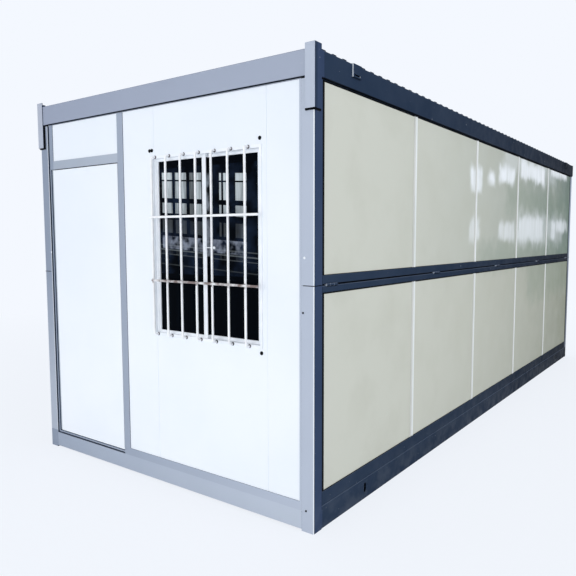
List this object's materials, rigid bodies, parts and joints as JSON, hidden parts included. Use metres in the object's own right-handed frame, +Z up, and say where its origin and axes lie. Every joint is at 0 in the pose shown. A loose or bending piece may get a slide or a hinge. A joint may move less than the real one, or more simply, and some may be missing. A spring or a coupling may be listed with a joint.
{
  "type": "portable office cabin",
  "caption": "Folding steel-framed office cabin with hinged sandwich-panel side walls, a hinged door, a barred sliding window and a ribbed roof sheet.",
  "frame": {"origin": "on the ground, under the middle of the cabin's plan", "axes": "+Z up, -Y towards the front end wall with the door and window, +X to the right seen from the front; the long walls run along Y"},
  "size_m": [2.434, 5.86, 2.5],
  "materials": {
    "frame_paint": "blue-grey gloss paint on folded steel",
    "front_panel_skin": "white coated sheet, satin",
    "side_panel_skin": "ivory coated sheet, semi-gloss",
    "strip_skin": "white coated sheet strip",
    "roof_skin": "blue-grey coated ribbed sheet",
    "floor_board": "brown floor board, matt",
    "ceiling_board": "white lining panel, satin",
    "window_alloy": "white window section, smooth",
    "window_pane": "clear float glass, dark behind",
    "grille_steel": "bare bright round bar, dull in places",
    "hinge_steel": "zinc-plated steel, worn",
    "fold_hinge_paint": "blue-grey gloss paint on steel, worn pale at the edges",
    "door_rubber": "black rubber strip, matt"
  },
  "bodies": {
    "cabin": {"base_corner_blocks": "frame_paint", "base_end_beams": "frame_paint", "base_side_beams": "frame_paint", "ceiling": "ceiling_board", "door_hinge_plates": "hinge_steel", "door_seals": "door_rubber", "door_sill": "front_panel_skin", "end_wall_bottom_rails": "front_panel_skin", "end_wall_top_strips": "front_panel_skin", "floor_deck": "floor_board", "floor_joists": "frame_paint", "front_jambs": "front_panel_skin", "front_mullion": "front_panel_skin", "front_panel_left": "front_panel_skin", "front_panel_over_window": "front_panel_skin", "front_panel_right": "front_panel_skin", "front_panel_under_window": "front_panel_skin", "grille_bars": "grille_steel", "grille_cross_bars": "grille_steel", "left_fold_hinges": "fold_hinge_paint", "left_joint_strips": "strip_skin", "left_lower_frame": "frame_paint", "left_lower_panels": "side_panel_skin", "left_upper_frame": "frame_paint", "left_upper_panels": "side_panel_skin", "rear_jambs": "front_panel_skin", "rear_panels": "front_panel_skin", "right_fold_hinges": "fold_hinge_paint", "right_joint_strips": "strip_skin", "right_lower_frame": "frame_paint", "right_lower_panels": "side_panel_skin", "right_upper_frame": "frame_paint", "right_upper_panels": "side_panel_skin", "roof_end_beams": "frame_paint", "roof_guide_angles": "frame_paint", "roof_lifting_lugs": "frame_paint", "roof_sheet": "roof_skin", "roof_side_beams": "frame_paint", "transom_bar": "front_panel_skin", "transom_panel": "front_panel_skin", "window_frame": "window_alloy", "window_glass": "window_pane", "window_sashes": "window_alloy"},
    "door": {"door_leaf": "front_panel_skin", "door_hinge_leaves": "hinge_steel"}
  },
  "joints": [
    {"name": "door_swing", "type": "hinge", "parent": "cabin", "child": "door", "pos_m": [-1.0625, -2.849, 0], "axis": [0, 0, 1], "range_deg": [0, 90]}
  ]
}
